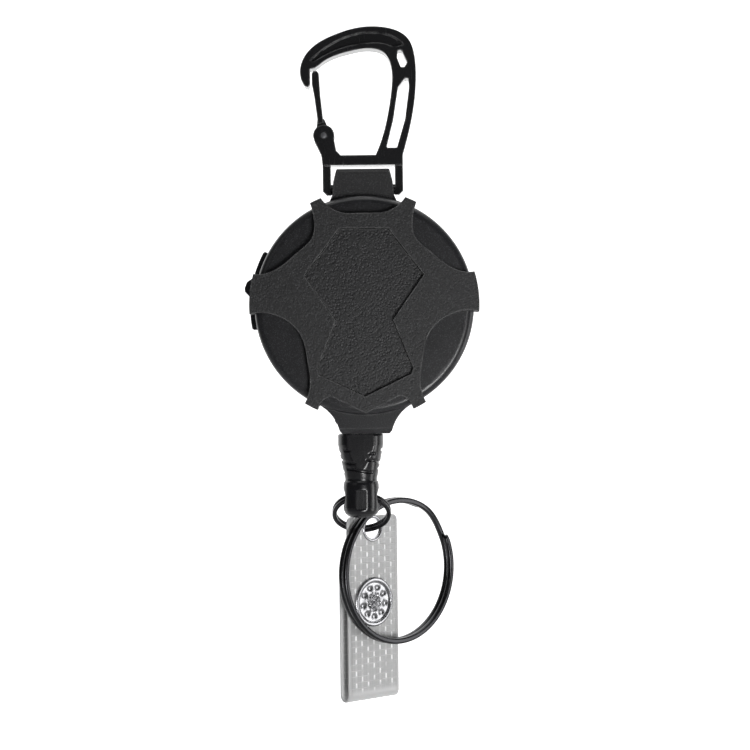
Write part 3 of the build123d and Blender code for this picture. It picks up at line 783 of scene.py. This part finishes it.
class MakeStrap(bpy.types.Operator):
    """Make the folded strap as one sheet"""

    bl_idname = "badge_reel.strap"
    bl_label = "Strap"
    bl_options = {"REGISTER", "UNDO"}

    def lie(self, distance):
        """The mid-line's y and z and its outward direction, at a distance from the top edge."""
        front = STRAP_TOP - FOLD_Y
        bend = math.pi * LEAF_PITCH / 2
        if distance < front:
            return STRAP_TOP - distance, 0.0, 0.0, 1.0
        if distance < front + bend:
            a = (distance - front) / (LEAF_PITCH / 2)
            reach = LEAF_PITCH / 2
            return FOLD_Y - reach * math.sin(a), reach * math.cos(a) - reach, -math.sin(a), math.cos(a)
        return FOLD_Y + distance - front - bend, -LEAF_PITCH, 0.0, -1.0

    def execute(self, context):
        length = (STRAP_TOP - FOLD_Y) + math.pi * LEAF_PITCH / 2 + (FLAP_TOP - FOLD_Y)
        corner, steps = 1.2, 150
        ends = (0, 0.08, 0.3, 0.65, corner)
        stations = list(ends)
        stations += [corner + (length - 2 * corner) * i / steps for i in range(1, steps)]
        stations += [length - s for s in reversed(ends)]
        rows, places = [], []
        for s in stations:
            short = max(0.0, corner - min(s, length - s))
            half = STRAP_HALF - corner + math.sqrt(corner**2 - short**2)
            y, z, out_y, out_z = self.lie(s)
            spread = [half * (2 * k / 24 - 1) for k in range(25)]
            spread[1], spread[-2] = -half + 0.12, half - 0.12
            skins = [0.12 if k in (0, 24) else 0.25 for k in range(25)]
            loop = [(u, y + out_y * t, z + out_z * t) for u, t in zip(spread, skins)]
            loop += [(u, y - out_y * t, z - out_z * t) for u, t in zip(spread[::-1], skins)]
            rows.append(loop)
            places += [(u, s) for u in spread + spread[::-1]]
        points, faces = loft(rows, caps=True)
        mesh = bpy.data.meshes.new("strap_sheet")
        mesh.from_pydata([(STRAP_PLACE @ Vector(p)) * MM for p in points], [], faces)
        layer = mesh.uv_layers.new(name="strap_place")
        for loop in mesh.loops:
            layer.data[loop.index].uv = places[loop.vertex_index]
        mesh.shade_smooth()
        sheet = bpy.data.objects.new("strap_sheet", mesh)
        context.scene.collection.objects.link(sheet)
        shape = bmesh.new()
        shape.from_mesh(mesh)
        bmesh.ops.recalc_face_normals(shape, faces=shape.faces)
        shape.to_mesh(mesh)
        shape.free()
        holes = [
            turned("hole", [(0, -0.6), (2.25, -0.6), (2.25, 0.6), (0, 0.6)], STRAP_PLACE, 64),
            turned("hole", [(0, -0.6), (1.2, -0.6), (1.2, 0.6), (0, 0.6)], SNAP_PLACE, 48),
            turned("hole", [(0, -3.0), (1.0, -3.0), (1.0, -1.8), (0, -1.8)], SNAP_PLACE, 48),
        ]
        cut(sheet, *holes)
        sheet.data.set_sharp_from_angle(angle=math.radians(50))
        settle(sheet, "vinyl", None, "badge_strap", "strap_fold", "strap_flap")
        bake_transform(sheet)
        return {"FINISHED"}


class MakeSnaps(bpy.types.Operator):
    """Make the eyelet and the snap's four parts"""

    bl_idname = "badge_reel.snaps"
    bl_label = "Eyelet and snap"
    bl_options = {"REGISTER", "UNDO"}

    def face_height(self, radius, a):
        """The snap's face: a rolled rim, a sunk ring of dimples and a creased middle."""
        if radius > 4.15:
            part = (radius - 4.55) / 0.45
            return 0.5 + 0.25 * math.sqrt(max(0.0, 1 - part * part))
        floor = 0.43 + 0.12 * smooth_step((3.9 - radius) / 3.2)
        wall = 0.08 * smooth_step((radius - 3.85) / 0.3)
        dimples = 0.0
        for ring, count, size in ((2.95, 9, 0.62), (1.5, 5, 0.42)):
            step = math.tau / count
            off = (a + ring + step / 2) % step - step / 2
            away = math.hypot(radius - ring, off * ring) / size
            dimples = max(dimples, math.exp(-away * away * 1.4))
        crease = math.sin(a * 7 + radius * 3.1) * math.sin(radius * 5.2 + 1.1)
        crease *= smooth_step((2.6 - radius) / 1.4)
        return floor + wall + 0.08 * crease - 0.2 * dimples

    def execute(self, context):
        arc = [math.pi * (1 - k / 10) for k in range(11)]
        outline = [(2.42 + 0.3 * math.cos(a), 0.25 + 0.18 * math.sin(a)) for a in arc]
        outline += [(2.72, 0.25), (2.25, 0.25), (2.25, -0.25), (2.72, -0.25)]
        outline += [(2.42 - 0.3 * math.cos(a), -0.25 - 0.18 * math.sin(a)) for a in arc]
        outline += [(2.06, -0.24), (2.06, 0.24)]
        eyelet = turned("eyelet_rim", outline, STRAP_PLACE, 96)
        eyelet.data.set_sharp_from_angle(angle=math.radians(50))
        settle(eyelet, "snap_steel", "strap", "strap_eyelet")

        around = 160
        radii = [0.02 + 0.1 * i for i in range(41)] + [4.15 + 0.05 * i for i in range(18)]
        rows = [circle(r, lambda a, r=r: self.face_height(r, a), around) for r in radii]
        back = ((4.96, 0.38), (4.9, 0.26), (1.2, 0.26), (1.2, -0.25), (0.02, -0.25))
        rows += [circle(r, h, around) for r, h in back]
        face = new_piece("snap_face", *loft(rows, caps=True), SNAP_PLACE)
        face.data.set_sharp_from_angle(angle=math.radians(55))
        settle(face, "snap_steel", "strap", "snap_cap")
        for node in ("snap_socket", "snap_stud", "snap_post"):
            softened(node, 0.14, "snap_steel")
        return {"FINISHED"}


class MakeStage(bpy.types.Operator):
    """Make the pale sweep, the soft lights and the camera"""

    bl_idname = "badge_reel.stage"
    bl_label = "Stage"
    bl_options = {"REGISTER", "UNDO"}

    FLOOR = -0.85
    WALL = 1.2
    BEND = 0.45
    REACH = 3.0
    LAMPS = (
        ("key_light", (0.13, -0.38, -0.13), (0.01, 0, -0.02), (0.12, 0.14), 0.98),
        ("fill_light", (-0.5, -0.5, 0.3), (0, 0, -0.02), (0.4, 0.4), 0.16),
        ("top_light", (0.05, -0.12, 0.5), (0, 0, 0), (0.5, 0.3), 0.7),
        ("right_light", (0.5, -0.06, -0.08), (0, 0, -0.02), (0.14, 0.34), 0.6),
        ("sweep_light", (0.0, 0.4, 1.6), (0, 1.2, 0), (1.4, 0.6), 12),
    )

    def sweep(self, scene):
        """A floor that bends up into a wall, its far part bright enough to burn out to white."""
        rows = [(-self.REACH, self.FLOOR)]
        for i in range(41):
            a = math.pi / 2 * i / 40
            y = self.WALL - self.BEND * (1 - math.sin(a))
            z = self.FLOOR + self.BEND * (1 - math.cos(a))
            rows.append((y, z))
        rows.append((self.WALL, self.REACH))
        mesh = bpy.data.meshes.new("sweep")
        points = [(x, y, z) for y, z in rows for x in (-self.REACH, self.REACH)]
        faces = [(2 * i, 2 * i + 1, 2 * i + 3, 2 * i + 2) for i in range(len(rows) - 1)]
        mesh.from_pydata(points, [], faces)
        mesh.shade_smooth()
        floor = bpy.data.objects.new("sweep", mesh)
        scene.collection.objects.link(floor)
        paper = Finish("sweep_paper")
        tooth = paper.noise(3, 3)
        colour = paper.mix(tooth, 0.86, 0.9)
        depth = paper.axes(paper.spot)[1]
        glow = paper.mix(paper.between(depth, 0.7, 1.1), 0.0, 1.0)
        emission = {"Emission Color": glow, "Emission Strength": 1.0}
        paper.surface(colour, 0.9 + tooth * 0.05, tooth, 0.1, emission)
        mesh.materials.append(paper.material)

    def lamp(self, scene, name, place, aim, size, power):
        """A soft lamp that the camera doesn't see, turned towards its aim."""
        light = bpy.data.lights.new(name, "AREA")
        light.shape = "RECTANGLE"
        light.size, light.size_y = size
        light.energy = power
        lamp = bpy.data.objects.new(name, light)
        lamp.location = place
        lamp.visible_camera = False
        lamp.rotation_euler = (Vector(aim) - Vector(place)).to_track_quat("-Z", "Y").to_euler()
        scene.collection.objects.link(lamp)

    def execute(self, context):
        scene = context.scene
        self.sweep(scene)
        for lamp in self.LAMPS:
            self.lamp(scene, *lamp)
        world = bpy.data.worlds.new("room")
        world.use_nodes = True
        background = world.node_tree.nodes["Background"]
        background.inputs["Color"].default_value = (0.9, 0.92, 0.95, 1)
        background.inputs["Strength"].default_value = 0.07
        scene.world = world
        scene.view_settings.view_transform = "Standard"
        lens = bpy.data.cameras.new("camera")
        lens.lens = 88.8
        lens.sensor_width = 36.0
        camera = bpy.data.objects.new("camera", lens)
        camera.location = (0.00193, -0.3766, -0.0138)
        camera.rotation_euler = (math.radians(90), math.radians(0.7), 0)
        scene.collection.objects.link(camera)
        scene.camera = camera
        return {"FINISHED"}


OPERATORS = (
    MakeCarabiner, MakeCase, MakeCover, MakeWorks, MakeCord, MakeBoot, MakeRings, MakeSnaps,
    MakeStrap, MakeStage,
)


class ReelPanel(bpy.types.Panel):
    """Lists the badge reel's sizes, colours and pieces"""

    bl_idname = "VIEW3D_PT_badge_reel"
    bl_label = "Badge reel"
    bl_space_type = "VIEW_3D"
    bl_region_type = "UI"
    bl_category = "Badge reel"

    def draw(self, context):
        for group in (context.scene.reel_sizes, context.scene.reel_colours):
            box = self.layout.box()
            for name in group.bl_rna.properties.keys():
                if name not in ("rna_type", "name"):
                    box.prop(group, name)
        for operator in OPERATORS:
            self.layout.operator(operator.bl_idname)


CLASSES = (ReelColours, ReelSizes, *OPERATORS, ReelPanel)


def register():
    for item in CLASSES:
        bpy.utils.register_class(item)
    bpy.types.Scene.reel_colours = bpy.props.PointerProperty(type=ReelColours)
    bpy.types.Scene.reel_sizes = bpy.props.PointerProperty(type=ReelSizes)


def unregister():
    del bpy.types.Scene.reel_sizes
    del bpy.types.Scene.reel_colours
    for item in reversed(CLASSES):
        bpy.utils.unregister_class(item)


def main():
    register()
    for operator in OPERATORS:
        group, name = operator.bl_idname.split(".")
        getattr(getattr(bpy.ops, group), name)()


if __name__ == "__main__":
    main()
